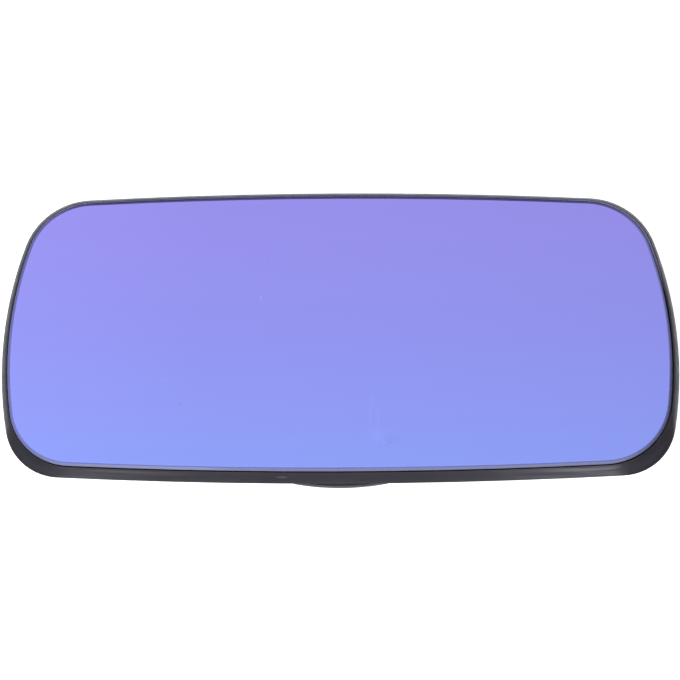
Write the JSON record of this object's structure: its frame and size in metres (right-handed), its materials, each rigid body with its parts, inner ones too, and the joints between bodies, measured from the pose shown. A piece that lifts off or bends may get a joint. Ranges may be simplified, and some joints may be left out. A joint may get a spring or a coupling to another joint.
{
  "type": "car door mirror glass",
  "caption": "Blue-coated car door mirror pane bonded into a moulded carrier with a flared rim, with a turning lock ring on the hub behind it.",
  "frame": {"origin": "on the hub axis, in the plane of the hub's back end, which is the plane the part rests on", "axes": "+X along the width, +Y from the lower edge to the upper edge of the pane, +Z out of the glass face"},
  "size_m": [0.17, 0.0758, 0.015],
  "materials": {
    "coated_mirror": "blue-violet mirror coating, ground edge",
    "pad_foam": "thin adhesive foam",
    "carrier_plastic": "charcoal moulded plastic, satin",
    "ring_plastic": "dark grey moulded plastic, satin"
  },
  "bodies": {
    "mirror": {"mirror_glass": "coated_mirror", "bonding_pad": "pad_foam", "carrier": "carrier_plastic"},
    "lock_ring": {"locking_ring": "ring_plastic"}
  },
  "joints": [
    {"name": "lock_ring_turn", "type": "hinge", "parent": "mirror", "child": "lock_ring", "pos_m": [0, 0, 0.0055], "axis": [0, 0, 1], "range_deg": [0, 22]}
  ]
}
